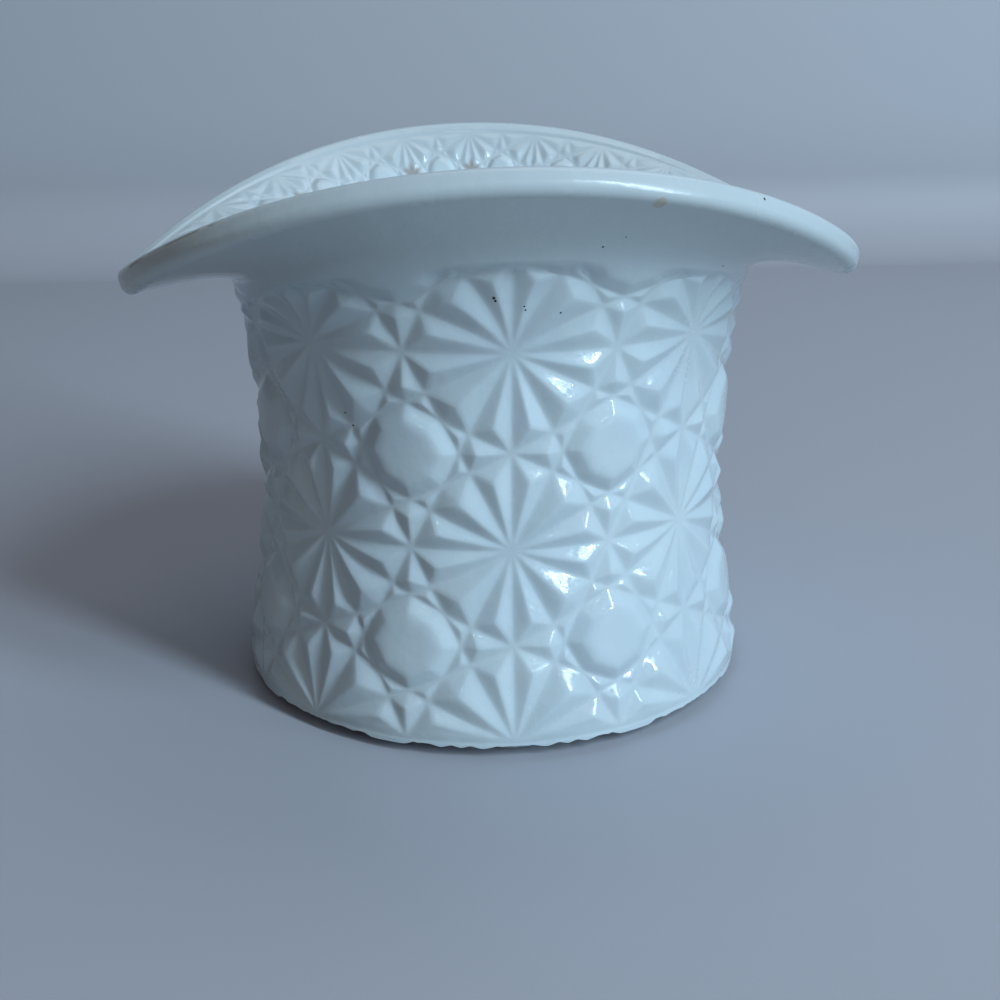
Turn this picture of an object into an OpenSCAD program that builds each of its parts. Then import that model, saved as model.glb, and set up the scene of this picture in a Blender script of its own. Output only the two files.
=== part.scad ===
// Small top hat of pressed white glass that stands on its crown, brim up.
// The outside of the wall, the underside and the top of the brim carry the
// traditional daisy and button pattern: straight V grooves that cross in stars.
// Lengths are in millimetres, angles in degrees. The front of the hat faces -Y.

/* [Body] */
// Radius of the wall at its waist, over the buttons
waist_r = 28.9; // [27:0.1:32]
// Height of the waist above the table
waist_z = 29; // [26:0.5:32]
// How much wider the wall would be at the table than at the waist
foot_flare = 3.9; // [2:0.1:5]
// Height of the bottom edge of the wall above the table
edge_z = 1.1; // [0.8:0.1:1.3]
// How far the underside is dished in from that edge to where it meets the table
foot_in = 2.6; // [2:0.1:3.5]
// Thickness of the glass at the waist
wall_t = 4; // [3.5:0.1:5.5]
// Slope of the smooth inside of the cup
draft = 1.5; // [0.5:0.1:3]
// Thickness of the glass floor
floor_t = 7; // [5:0.1:10]
// Radius of the turn from the floor into the inside of the wall
cup_fillet = 4; // [2:0.1:8]

/* [Pattern] */
// Number of daisies round the wall
daisies = 8; // [6:1:9]
// Height of the lowest row of daisies above the table
first_row = 2.6; // [2.3:0.1:3.2]
// Height from the lowest row of daisies to the middle row
low_row = 20.7; // [18:0.1:21.5]
// Height from the middle row of daisies to the top row
high_row = 21.7; // [19:0.1:22.5]
// Depth of the grooves on the wall and the underside
groove_d = 0.9; // [0.7:0.1:1]
// Glass of the relief that lies under its grooves
under_groove = 0.5; // [0.4:0.1:0.8]
// Flat top of a button, as a share of the whole button
button_flat = 0.7; // [0.5:0.05:0.8]
// Distance between two daisies on the underside
base_cell = 14; // [13:0.1:24]
// Thickness of the patterned plate under the floor
base_t = 1.6; // [1.5:0.1:2]
// Depth of the grooves on the brim
brim_groove_d = 0.7; // [0.4:0.05:0.9]
// Glass of the brim's relief that lies under its grooves
brim_under = 0.4; // [0.3:0.05:0.7]

/* [Brim] */
// Width over the rim from left to right
brim_width = 86.6; // [82:0.2:96]
// Depth over the rim from front to back
brim_depth = 79; // [76:0.2:86]
// Height of the rim at the front and the back
height = 64.2; // [61:0.2:70]
// Mean height of the rim at the left and the right
side_height = 51.1; // [50.5:0.1:54]
// How much higher the rim is at the right than at the left
brim_tilt = 0.7; // [0:0.1:2]
// Thickness of the brim and of its rim
brim_t = 3.2; // [2.8:0.1:4]
// How far the rim stands out past the brim
rim_reach = 1.3; // [1.3:0.05:1.6]
// Radius of the rounded edges of the rim
rim_round = 1.2; // [0.8:0.05:1.25]
// Droop of the brim at the left and the right
side_droop = 16; // [8:1:20]
// Rise of the brim at the front and the back
front_rise = 43; // [34:1:52]
// Sharpness of the neck's turn at the left and the right
side_turn = 1.18; // [0.9:0.01:1.2]
// Sharpness of the neck's turn at the front and the back
front_turn = 0.88; // [0.6:0.01:1]
// Sharpness of the turn from the inside of the cup onto the brim
mouth_turn = 0.7; // [0.5:0.01:0.85]
// End of the wall's pattern along the neck's curve at the sides
side_end = 0.34; // [0.25:0.01:0.4]
// End of the wall's pattern along the neck's curve at the front
front_end = 0.57; // [0.45:0.01:0.6]
// Start of the brim's pattern along the mouth's curve
brim_start = 0.52; // [0.5:0.01:0.56]
// End of the brim's pattern along the mouth's curve
brim_end = 0.96; // [0.88:0.01:0.97]

/* [Hidden] */
$fn = 96;

// Rows of daisies, from the bottom up
row_1 = first_row;
row_2 = row_1 + low_row;
row_3 = row_2 + high_row;
// Half rows of the pattern on the wall, the top one running out on the neck
half_rows = 5;
// Facets round the lofted pieces, six to each wall daisy and two to each brim daisy
sides = 6 * daisies;
brim_daisies_round = sides / 2;
// Half width of a groove between petals, as a share of half a button
petal_slope = 0.4;
// Full depth of the relief on the wall and on the brim
relief_t = groove_d + under_groove;
brim_relief_t = brim_groove_d + brim_under;
// Where the neck ends on the inner curve, and how far it runs past the wall's pattern on the outer one
neck_end_in = brim_start - 0.06;
neck_past = 0.2;
// Glass between the brim's relief and the bend of the seat between neck and brim
seat_under = 0.3;
// Width of the bevel at the edges of the brim's pattern, along its curve
bevel = 0.02;
glass = [0.93, 0.95, 0.97];

// Wall: a parabola round the waist
function top_r(z) = waist_r + foot_flare * pow((z - waist_z) / waist_z, 2);
function top_slope(z) = 2 * foot_flare * (z - waist_z) / pow(waist_z, 2);
function core_r(z) = top_r(z) - relief_t;
function cup_r(z) = waist_r - wall_t + (z - waist_z) * tan(draft);
// Height of a place on the pattern, counted in rows from the lowest daisies
row_bend = (high_row - low_row) / 2;
function row_z(v) = row_1 + (low_row - row_bend) * v + row_bend * v * v;

// Bottom edge of the wall, under the groove of the lowest daisies, and the circle that meets the table
edge_r = top_r(row_1) - groove_d;
foot_r = edge_r - foot_in;
// Middle of the turn between the floor and the wall inside the cup
fillet_z = floor_t + cup_fillet;
fillet_r = cup_r(fillet_z) - cup_fillet / cos(draft);

// Saddle of the brim: 0 at the sides, 1 at the front and the back
function saddle(a) = (1 + cos(2 * a)) / 2;
function mix(p, q, s) = p * (1 - s) + q * s;
function lift(a) = saddle(a) * (1.4 - 0.4 * saddle(a));
function pull_in(a) = saddle(a) * (0.5 + 0.5 * saddle(a));
function rise(a) = mix(-side_droop, front_rise, lift(a));
function along(a) = [cos(rise(a)), sin(rise(a))];
function below(a) = [sin(rise(a)), -cos(rise(a))] * brim_t / 2;
// Middles of the two rounded edges of the rim lie this far out and this far from its middle plane
round_out = rim_reach - rim_round;
round_off = brim_t / 2 - rim_round;
// How far the rim reaches outwards and upwards from the end of the brim
function reach_out(a) = round_out * cos(rise(a)) + round_off * abs(sin(rise(a))) + rim_round;
function reach_up(a) = round_out * max(0, sin(rise(a))) + round_off * cos(rise(a)) + rim_round;
function brim_tip(a) = [
  mix(brim_width, brim_depth, pull_in(a)) / 2 - reach_out(a),
  mix(side_height, height, lift(a)) - reach_up(a) + brim_tilt / 2 * sin(a)
];

// Section curves of the neck and the brim, in the plane through the axis
function wedge(p, q) = p[0] * q[1] - p[1] * q[0];
function crossing(p, d, q, e) = p + d * wedge(q - p, e) / wedge(d, e);
function turned(p, d, q, e, s) = let (c = crossing(p, d, q, e)) [p, mix(p, c, s), mix(q, c, s), q];
function bezier(c, t) =
  c[0] * pow(1 - t, 3) + c[1] * 3 * t * pow(1 - t, 2) + c[2] * 3 * t * t * (1 - t) + c[3] * pow(t, 3);
function bezier_way(c, t) =
  (c[1] - c[0]) * pow(1 - t, 2) + (c[2] - c[1]) * 2 * t * (1 - t) + (c[3] - c[2]) * t * t;
function outer_curve(a) = turned([top_r(row_3), row_3], [top_slope(row_3), 1],
  brim_tip(a) + below(a), along(a), mix(side_turn, front_turn, lift(a)));
function inner_curve(a) = turned([cup_r(row_3), row_3], [tan(draft), 1],
  brim_tip(a) - below(a), along(a), mouth_turn);
function outer_at(a, t) = bezier(outer_curve(a), t);
function inner_at(a, t) = bezier(inner_curve(a), t);
function inner_up(a, t) = let (w = bezier_way(inner_curve(a), t)) [-w[1], w[0]] / norm(w);
function sunk(a, t, d) = inner_at(a, t) - inner_up(a, t) * d;
function pattern_end(a) = mix(side_end, front_end, lift(a));
function neck_end_out(a) = pattern_end(a) + neck_past;
// Bend in the seat between the neck and the brim, deeper than the brim's relief
function seat_bend(a) = sunk(a, neck_end_in, brim_relief_t + seat_under);
// Rounded lower (side is -1) and upper (side is 1) edge of the rim
function rim_edge(a, side, b) = brim_tip(a) + along(a) * (round_out + rim_round * cos(b))
  - below(a) * (side * round_off + rim_round * sin(b)) / (brim_t / 2);
function round_to(a, p) = [p[0] * sin(a), -p[0] * cos(a), p[1]];

// Daisy and button motif: one eighth of a cell between the middle of a daisy,
// the small star beside it and the middle of a button. Each corner is [u, v, h],
// where h is 0 in a groove and 1 on a button.
daisy = [0, 0, 0];
star = [1/2, 0, 0];
cross_point = [2/5, 1/5, 0];
kite_tip = [1/3, 1/3, 0];
side_tip = [1/2, 1/4, 0];
button = [1/2, 1/2, 1];
function line_gap(p, a, b) = abs(wedge(b - a, p - a)) / norm([b[0] - a[0], b[1] - a[1]]);
function incentre(a, b, c) =
  let (la = norm(b - c), lb = norm(c - a), lc = norm(a - b)) (a * la + b * lb + c * lc) / (la + lb + lc);
// Half the width that a groove would have at the height of the buttons
groove_share = petal_slope * line_gap(button, side_tip, kite_tip);
// A peak stands as far above the grooves as its distance from the nearest one allows
function peak(p, a, b) = [p[0], p[1], min(1, line_gap(p, a, b) / groove_share)];
petal_peak = peak(incentre(daisy, star, cross_point), daisy, star);
long_peak = peak([1/4, 1/4, 0], daisy, cross_point);
star_peak = peak([1/2, 1/6, 0], star, cross_point);
small_peak = peak(incentre(cross_point, side_tip, kite_tip), side_tip, kite_tip);
flat_side = mix(button, [1/2, 1/4, 1], button_flat);
flat_tip = mix(button, [1/3, 1/3, 1], button_flat);
fine_edges = [
  [daisy, [1/6, 0, 0], petal_peak], [[1/6, 0, 0], [1/3, 0, 0], petal_peak], [[1/3, 0, 0], star, petal_peak],
  [cross_point, cross_point / 2, petal_peak], [cross_point / 2, daisy, petal_peak],
  [daisy, cross_point / 2, long_peak], [cross_point / 2, cross_point, long_peak]
];
plain_edges = [[daisy, star, petal_peak], [cross_point, daisy, petal_peak], [daisy, cross_point, long_peak]];
shared_facets = [
  [star, cross_point, petal_peak], [cross_point, kite_tip, long_peak],
  [star, star_peak, cross_point], [cross_point, star_peak, side_tip],
  [cross_point, side_tip, small_peak], [side_tip, kite_tip, small_peak], [kite_tip, cross_point, small_peak],
  [side_tip, flat_side, flat_tip], [side_tip, flat_tip, kite_tip], [flat_side, button, flat_tip]
];
fine_motif = concat(fine_edges, shared_facets);
plain_motif = concat(plain_edges, shared_facets);

// The motif is mirrored into each half cell, so that neighbours share edges
function in_half_cell(k, x) = k % 2 == 0 ? k / 2 + x : (k + 1) / 2 - x;
function turn_way(t) = (t[1][0] - t[0][0]) * (t[2][1] - t[0][1]) - (t[1][1] - t[0][1]) * (t[2][0] - t[0][0]);
function faced(t) = turn_way(t) > 0 ? [t[2], t[1], t[0]] : t;
function tiles(motif, i0, i1, j0, j1) = [
  for (i = [i0:i1]) for (j = [j0:j1]) for (t = motif) for (x = [0, 1])
    faced([for (p = t) [in_half_cell(i, p[x]), in_half_cell(j, p[1 - x]), p[2]]])
];

// Faces between two rings of points, and the solids made of triangles
function flipped(list) = [for (t = list) [t[2], t[1], t[0]]];
function strip(p, q) = [
  for (i = [0:len(p) - 1]) let (n = (i + 1) % len(p)) for (t = [[p[i], p[n], q[n]], [p[i], q[n], q[i]]]) t
];
module faceted(list) {
  polyhedron(
    points = [for (t = list) for (p = t) p],
    faces = [for (k = [0:len(list) - 1]) [3 * k, 3 * k + 1, 3 * k + 2]]
  );
}
// Loft of closed sections round the axis
module lofted(sections, clockwise = false) {
  count = len(sections[0]);
  rings = [for (k = [0:count - 1]) [for (i = [0:sides - 1]) round_to(360 * i / sides, sections[i][k])]];
  list = [for (k = [0:count - 1]) for (t = strip(rings[k], rings[(k + 1) % count])) t];
  faceted(clockwise ? list : flipped(list));
}
function steps(p, q, n) = [for (k = [0:n]) p + (q - p) * k / n];

// Relief of the wall
function fade(v) = v < 2.25 ? 1 : (2.5 - v) / 0.25;
function wall_surface(a, v) =
  v <= 2 ? [top_r(row_z(v)), row_z(v)] : outer_at(a, pattern_end(a) * (v - 2) * 2);
function wall_point(p) = let (a = 360 * p[0] / daisies, s = wall_surface(a, p[1]))
  round_to(a, s - [groove_d * (1 - p[2]) * fade(p[1]), 0]);
// The back thins out with the grooves
function wall_back(a, v) = wall_surface(a, v) - [under_groove + groove_d * fade(v), 0];
// Levels of the seat between the wall and its relief
wall_levels = steps(0, 2, 8);
neck_levels = steps(2, half_rows / 2, 4);
function back_ring(v) = [for (i = [0:sides - 1]) let (a = 360 * i / sides) round_to(a, wall_back(a, v))];
// Ledge at the top of the relief, from its front corners (w is 0) to its back corners (w is 1)
ledge_front = [[0, 0], [1/6, 0], [1/4, 0], [flat_side[1], 0], [1/2, 0]];
ledge_back = [[0, 1], [1/6, 1], [1/3, 1], [1/2, 1]];
ledge_facets = [
  [ledge_back[0], ledge_back[1], ledge_front[1]], [ledge_back[0], ledge_front[1], ledge_front[0]],
  [ledge_back[1], ledge_front[2], ledge_front[1]], [ledge_back[1], ledge_back[2], ledge_front[2]],
  [ledge_back[2], ledge_front[3], ledge_front[2]], [ledge_back[2], ledge_front[4], ledge_front[3]],
  [ledge_back[2], ledge_back[3], ledge_front[4]]
];
function ledge_point(p) = let (a = 360 * p[0] / daisies)
  round_to(a, wall_surface(a, half_rows / 2) - [under_groove * p[1], 0]);

// Relief of the brim
function brim_t_at(v) = mix(brim_end, brim_start, v);
function brim_point(p) = let (a = 360 * p[0] / brim_daisies_round)
  round_to(a, sunk(a, brim_t_at(p[1]), brim_groove_d * (1 - p[2])));
brim_levels = steps(brim_start, brim_end, 4);
function brim_ring(t, d) = [for (i = [0:sides - 1]) let (a = 360 * i / sides) round_to(a, sunk(a, t, d))];

module base_daisies() {
  // An odd number of half cells each way, so that the middle is a button
  reach = 2 * ceil((edge_r / (base_cell / 2) - 1) / 2) + 1;
  relief = [
    for (t = tiles(plain_motif, 0, 2 * reach - 1, 0, 2 * reach - 1))
      [for (p = t) [(p[0] - reach / 2) * base_cell, (p[1] - reach / 2) * base_cell, groove_d * (1 - p[2])]]
  ];
  far = reach * base_cell / 2;
  walk = steps(-far, far, 2 * reach);
  function square_ring(z) = [
    for (side = [0:3]) for (k = [0:2 * reach - 1])
      let (c = [1, 0, -1, 0][side], s = [0, 1, 0, -1][side])
        [walk[k] * c + far * s, walk[k] * s - far * c, z]
  ];
  low = square_ring(groove_d);
  high = square_ring(base_t + 1);
  count = len(high);
  lid = [for (k = [0:count - 1]) [high[(k + 1) % count], high[k], [0, 0, base_t + 1]]];
  color(glass)
  intersection() {
    faceted(concat(flipped(relief), flipped(strip(low, high)), lid));
    rotate_extrude()
    polygon([[0, -1], [foot_r, -1], [foot_r, 0], [edge_r, edge_z], [edge_r, base_t], [0, base_t]]);
  }
}

module floor() {
  color(glass)
  rotate_extrude()
  polygon([[0, base_t], [edge_r, base_t], [edge_r, row_1], [fillet_r, row_1], [fillet_r, floor_t], [0, floor_t]]);
}

module wall() {
  color(glass)
  rotate_extrude()
  polygon(concat(
    [[fillet_r, row_1]],
    [for (v = wall_levels) [core_r(row_z(v)) * cos(180 / sides), row_z(v)]],
    [[cup_r(row_3), row_3]],
    [for (b = steps(-draft, -90, 8)) [fillet_r + cup_fillet * cos(b), fillet_z + cup_fillet * sin(b)]]
  ));
}

module wall_daisies() {
  relief = [
    for (t = tiles(fine_motif, 0, 2 * daisies - 1, 0, half_rows - 1)) [for (p = t) wall_point(p)]
  ];
  levels = concat(wall_levels, [for (k = [1:len(neck_levels) - 1]) neck_levels[k]]);
  back = [for (k = [0:len(levels) - 2]) for (t = strip(back_ring(levels[k]), back_ring(levels[k + 1]))) t];
  foot = strip([for (i = [0:sides - 1]) wall_point([i / 6, 0, 0])], back_ring(0));
  ledge = [
    for (k = [0:2 * daisies - 1]) for (t = ledge_facets)
      [for (p = faced([for (q = t) [in_half_cell(k, q[0]), q[1]]])) ledge_point(p)]
  ];
  color(glass) faceted(concat(relief, back, foot, ledge));
}

module neck() {
  color(glass)
  lofted([for (i = [0:sides - 1]) let (a = 360 * i / sides) concat(
    [for (v = neck_levels) wall_back(a, v)],
    [for (t = steps(pattern_end(a), neck_end_out(a), 3)) outer_at(a, t)],
    [seat_bend(a)],
    [for (t = steps(neck_end_in, 0, 5)) inner_at(a, t)]
  )]);
}

module brim() {
  color(glass)
  lofted([for (i = [0:sides - 1]) let (a = 360 * i / sides) concat(
    [outer_at(a, neck_end_out(a)), seat_bend(a), inner_at(a, neck_end_in), inner_at(a, brim_start - bevel)],
    [sunk(a, brim_start, brim_groove_d)],
    [for (t = brim_levels) sunk(a, t, brim_relief_t)],
    [sunk(a, brim_end, brim_groove_d), inner_at(a, brim_end + bevel)],
    [inner_at(a, 1)],
    [for (k = [0:4]) outer_at(a, mix(1, neck_end_out(a), k / 5))]
  )], clockwise = true);
}

module brim_daisies() {
  relief = [
    for (t = tiles(plain_motif, 0, 2 * brim_daisies_round - 1, 0, 1)) [for (p = t) brim_point(p)]
  ];
  seat = [for (t = brim_levels) brim_ring(t, brim_relief_t)];
  last = len(seat) - 1;
  back = [for (k = [0:last - 1]) for (t = strip(seat[k], seat[k + 1])) t];
  inner_edge = strip(seat[0], brim_ring(brim_start, brim_groove_d));
  outer_edge = strip(brim_ring(brim_end, brim_groove_d), seat[last]);
  color(glass) faceted(concat(relief, flipped(back), inner_edge, outer_edge));
}

module rim() {
  color(glass)
  lofted([for (i = [0:sides - 1]) let (a = 360 * i / sides)
    concat(
      [brim_tip(a) + below(a)],
      [for (b = steps(-90, 0, 4)) rim_edge(a, -1, b)],
      [for (b = steps(0, 90, 4)) rim_edge(a, 1, b)],
      [brim_tip(a) - below(a)]
    )
  ]);
}

base_daisies();
floor();
wall();
wall_daisies();
neck();
brim();
brim_daisies();
rim();
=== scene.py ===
# %% [markdown]
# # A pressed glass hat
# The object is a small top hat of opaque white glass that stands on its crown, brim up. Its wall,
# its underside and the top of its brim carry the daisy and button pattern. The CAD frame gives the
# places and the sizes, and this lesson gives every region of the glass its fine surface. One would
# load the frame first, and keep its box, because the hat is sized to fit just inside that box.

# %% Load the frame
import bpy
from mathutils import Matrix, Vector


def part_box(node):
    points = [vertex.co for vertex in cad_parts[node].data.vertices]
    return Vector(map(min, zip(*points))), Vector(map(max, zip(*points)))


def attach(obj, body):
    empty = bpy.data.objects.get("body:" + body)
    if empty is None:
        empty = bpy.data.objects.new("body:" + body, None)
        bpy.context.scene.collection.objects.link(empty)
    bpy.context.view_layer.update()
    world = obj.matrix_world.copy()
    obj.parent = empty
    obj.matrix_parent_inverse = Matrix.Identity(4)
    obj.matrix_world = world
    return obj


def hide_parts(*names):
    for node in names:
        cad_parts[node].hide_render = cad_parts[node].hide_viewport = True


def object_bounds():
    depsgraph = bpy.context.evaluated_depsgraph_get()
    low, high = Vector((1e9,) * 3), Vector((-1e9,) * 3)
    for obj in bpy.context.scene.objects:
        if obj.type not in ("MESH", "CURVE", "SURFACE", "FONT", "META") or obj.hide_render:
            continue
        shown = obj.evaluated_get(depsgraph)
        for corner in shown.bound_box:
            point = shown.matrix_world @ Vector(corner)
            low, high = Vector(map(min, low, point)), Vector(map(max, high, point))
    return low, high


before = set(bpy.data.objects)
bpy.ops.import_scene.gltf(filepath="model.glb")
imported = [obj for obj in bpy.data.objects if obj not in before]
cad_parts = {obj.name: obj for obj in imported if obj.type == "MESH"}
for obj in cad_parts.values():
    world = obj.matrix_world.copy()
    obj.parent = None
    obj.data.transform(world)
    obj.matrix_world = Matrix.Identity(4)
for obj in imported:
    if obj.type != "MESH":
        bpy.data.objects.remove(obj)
cad_low, cad_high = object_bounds()
print("CAD box in metres:", list(cad_low), list(cad_high))

# %% [markdown]
# ## The sizes
# Places that the frame already knows, such as the top of the floor, are read from its nodes. The
# others repeat the sizes of the solids, in millimetres, so that each surface lies where its solid is.

# %% Sizes in millimetres
import math

import bpy
import numpy as np
from mathutils import Matrix, Vector

MM = 0.001
base_t, floor_t = [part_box(node)[1].z / MM for node in ("base_daisies", "floor")]
row_1, row_3 = [corner.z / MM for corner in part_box("wall")]
low_row = 20.7
row_2 = row_1 + low_row
# The lowest daisies sit a little lower than the seam between the floor and the wall
foot_row = 1.9
edge_z, foot_in = 1.1, 2.6
waist_r, waist_z, foot_flare = 28.9, 29.0, 3.9
wall_t, draft, cup_fillet = 4.0, math.radians(1.5), 4.0
groove_d, under_groove = 0.9, 0.5
brim_groove_d, brim_under = 0.7, 0.4
brim_relief_t = brim_groove_d + brim_under
# The tilt of the brim lifts its highest point this far over the height of its front
tilt_lift = 0.01
brim_width, brim_depth = 2 * cad_high.x / MM, 2 * cad_high.y / MM
height = cad_high.z / MM - tilt_lift
side_height, brim_tilt, brim_t = 51.1, 0.7, 3.2
rim_reach, rim_round = 1.3, 1.2
side_droop, front_rise = math.radians(16), math.radians(43)
print(f"brim {brim_width:.1f} by {brim_depth:.1f} mm, height {height:.1f} mm, floor at {floor_t:.1f} mm")

# %% [markdown]
# ## The form under the pattern
# The wall is waisted: its radius is a parabola of the height. The inside of the cup is a cone that
# opens a little, so that the plunger of the press could leave it. The brim was bent while the glass
# was soft: low at the sides, high at the front and the back. A section through the axis is one curve
# inside and one outside, and both change smoothly round the hat, so each is a function of two
# numbers: the angle round the axis and the place along the curve.

# %% Wall and cup
daisies = 8


def mix(start, end, share):
    """Straight blend: start where share is 0, end where it is 1."""
    return start * (1 - share) + end * share


def wall_radius(z):
    """Waist radius plus the flare times the squared distance from the waist, plumb below row 1."""
    return waist_r + foot_flare * ((np.maximum(z, row_1) - waist_z) / waist_z) ** 2


def cup_radius(z):
    """A cone that passes one wall thickness inside the waist."""
    return waist_r - wall_t + (z - waist_z) * math.tan(draft)


def row_height(v):
    """Height of a place on the pattern: v counts rows, and the upper row is a little taller."""
    bend = (row_3 - 2 * row_2 + foot_row) / 2
    return foot_row + (row_2 - foot_row - bend) * v + bend * v * v


edge_r = wall_radius(row_1) - groove_d
foot_r = edge_r - foot_in
fillet_z = floor_t + cup_fillet
fillet_r = cup_radius(fillet_z) - cup_fillet / math.cos(draft)
print(f"waist {waist_r:.1f} mm, foot {edge_r:.1f} mm, floor of the cup {fillet_r:.1f} mm in radius")

# %% Saddle of the brim
side_turn, front_turn, mouth_turn = 1.18, 0.88, 0.7
side_end, front_end = 0.34, 0.57
lift_bulge = 0.4
round_out, round_off = rim_reach - rim_round, brim_t / 2 - rim_round


def saddle(angle):
    """0 at the sides and 1 at the front and the back: half of one plus the doubled angle's cosine."""
    return (1 + np.cos(2 * angle)) / 2


def lift(angle):
    """The saddle with fuller flanks."""
    return saddle(angle) * (1 + lift_bulge * (1 - saddle(angle)))


def rise(angle):
    """Slope of the brim at its rim, from a droop at the sides to a rise at the front."""
    return mix(-side_droop, front_rise, lift(angle))


def pointing(slope):
    """Unit vector at that slope in the plane of a section."""
    return np.stack([np.cos(slope), np.sin(slope)], axis=-1)


def brim_tip(angle):
    """Middle of the brim's end as radius and height, set in so far that the rim just fits the box."""
    slope = rise(angle)
    pull_in = saddle(angle) * (1 + saddle(angle)) / 2
    across = mix(brim_width, brim_depth, pull_in)
    up = mix(side_height, height, lift(angle)) + brim_tilt / 2 * np.sin(angle)
    out_by = round_out * np.cos(slope) + round_off * np.abs(np.sin(slope)) + rim_round
    up_by = round_out * np.maximum(0, np.sin(slope)) + round_off * np.cos(slope) + rim_round
    return np.stack([across / 2 - out_by, up - up_by], axis=-1)


def wedge(p, q):
    """Signed area between two flat vectors, positive where q lies to the left of p."""
    return p[..., 0] * q[..., 1] - p[..., 1] * q[..., 0]


def turned_curve(start, start_way, end, end_way, turn):
    """Four points of a cubic curve, whose handles run the share turn towards where its tangents meet."""
    gap = end - start
    meet = start + start_way * (wedge(gap, end_way) / wedge(start_way, end_way))[..., None]
    turn = np.broadcast_to(turn, gap.shape[:-1])[..., None]
    return np.stack([start, mix(start, meet, turn), mix(end, meet, turn), end], axis=-2)


def outer_curve(angle):
    """Curve from the top row of daisies, round the neck, to the underside of the rim."""
    start = np.broadcast_to([wall_radius(row_3), row_3], (*np.shape(angle), 2))
    steep = 2 * foot_flare * (row_3 - waist_z) / waist_z ** 2
    way = np.broadcast_to([steep, 1.0], start.shape)
    below = pointing(rise(angle) - math.pi / 2) * brim_t / 2
    turn = mix(side_turn, front_turn, lift(angle))
    return turned_curve(start, way, brim_tip(angle) + below, pointing(rise(angle)), turn)


def inner_curve(angle):
    """Curve from the top of the cup, over its mouth, to the top of the rim."""
    start = np.broadcast_to([cup_radius(row_3), row_3], (*np.shape(angle), 2))
    way = np.broadcast_to([math.tan(draft), 1.0], start.shape)
    above = pointing(rise(angle) + math.pi / 2) * brim_t / 2
    return turned_curve(start, way, brim_tip(angle) + above, pointing(rise(angle)), mouth_turn)


def along_curve(curve, t):
    """Point of a cubic curve: its four points weighted by the terms of (1 - t + t) cubed."""
    t = np.broadcast_to(t, curve.shape[:-2])
    weights = np.stack([(1 - t) ** 3, 3 * t * (1 - t) ** 2, 3 * t * t * (1 - t), t ** 3], axis=-1)
    return (curve * weights[..., None]).sum(axis=-2)


def sunk(angle, t, depth):
    """Point at that depth in the glass under the upper side of the brim, along its normal."""
    curve = inner_curve(angle)
    steps = np.diff(curve, axis=-2)
    t = np.broadcast_to(t, curve.shape[:-2])
    weights = np.stack([(1 - t) ** 2, 2 * t * (1 - t), t * t], axis=-1)
    way = (steps * weights[..., None]).sum(axis=-2)
    up = np.stack([-way[..., 1], way[..., 0]], axis=-1) / np.linalg.norm(way, axis=-1)[..., None]
    return along_curve(curve, t) - up * np.broadcast_to(depth, t.shape)[..., None]


def pattern_end(angle):
    """Share of the outer curve that the wall's pattern runs up the neck."""
    return mix(side_end, front_end, lift(angle))


def round_axis(angle, section):
    """Section point (radius, height) carried round the axis; angle 0 is the front, at -Y."""
    radius, z = section[..., 0], section[..., 1]
    return np.stack([radius * np.sin(angle), -radius * np.cos(angle), z], axis=-1)


for side_name, turned_by in (("front", 0.0), ("right", math.pi / 2)):
    print("end of the brim at the", side_name, brim_tip(np.array(turned_by)).round(1), "mm out and up")

# %% [markdown]
# ## The daisy and button pattern
# Cutters once ground this pattern with a wheel: straight V grooves in six directions that cross in
# the middle of each daisy. What the grooves leave standing are the petals, small stars and the
# eight-sided buttons. So the pattern needs no drawing. In cells of 1 by 1 with a daisy at every whole
# number, the height of the glass is the distance to the nearest groove, up to the flat top of a
# button, whose sides are steeper. The press and the fire polish softened every edge, and the edges of
# the buttons most, so the minimum is a soft one.

# %% Height of the pattern
button_flat, petal_slope = 0.7, 0.4
half_button = 0.5 / math.sqrt(5)
# Rounding of the valleys, the ridges and the shoulders of the buttons, in heights of a button
cut_valley, cut_edge, cut_shoulder = 0.14, 0.07, 0.16


def from_whole(x):
    """Distance to the nearest whole number."""
    return np.abs(x - np.round(x))


def soft_minimum(values, softness):
    """Logarithm of the summed exponentials, which rounds the edge where two values are equal."""
    return -softness * np.log(np.exp(-values / softness).sum(axis=0))


def on_button(u, v):
    """True inside the eight-sided button of the cell, whose middle is half a cell from the daisies."""
    x, y = np.abs(u % 1 - 0.5), np.abs(v % 1 - 0.5)
    return np.maximum(2 * x + y, 2 * y + x) < 0.5


def pattern_height(u, v, valley=cut_valley, edge=cut_edge, level_valley=None):
    """0 in a groove and 1 on a button: the soft minimum of the rounded distances to all grooves."""
    slanted = [2 * v - u, 2 * v + u, 2 * u - v, 2 * u + v]
    gaps = [from_whole(u), from_whole(v)] + [from_whole(x) / math.sqrt(5) for x in slanted]
    share = np.where(on_button(u, v), 1 - button_flat, petal_slope) * half_button
    heights = np.stack(gaps) / share
    roundings = np.full(heights.shape, valley)
    if level_valley is not None:
        roundings[1] = level_valley
    rounded = soft_minimum(np.sqrt(heights ** 2 + roundings ** 2) - roundings, edge)
    return np.maximum(soft_minimum(np.stack([rounded, np.ones_like(rounded)]), cut_shoulder), 0)


print("height on a button:", pattern_height(np.array([0.5]), np.array([0.5])).round(2),
      "in a daisy:", pattern_height(np.array([0.0]), np.array([0.0])).round(2))

# %% [markdown]
# ## A grid that follows the grooves
# On a plain square grid the slanted grooves would come out as saw teeth. The grid is laid along the
# grooves instead: one eighth of a cell is cut into the triangles between the grooves and the ridges,
# each triangle gets a fine lattice that is denser towards its edges, and mirroring that eighth fills
# the whole sheet. All of it is one array operation, and points that coincide are merged.

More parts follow.
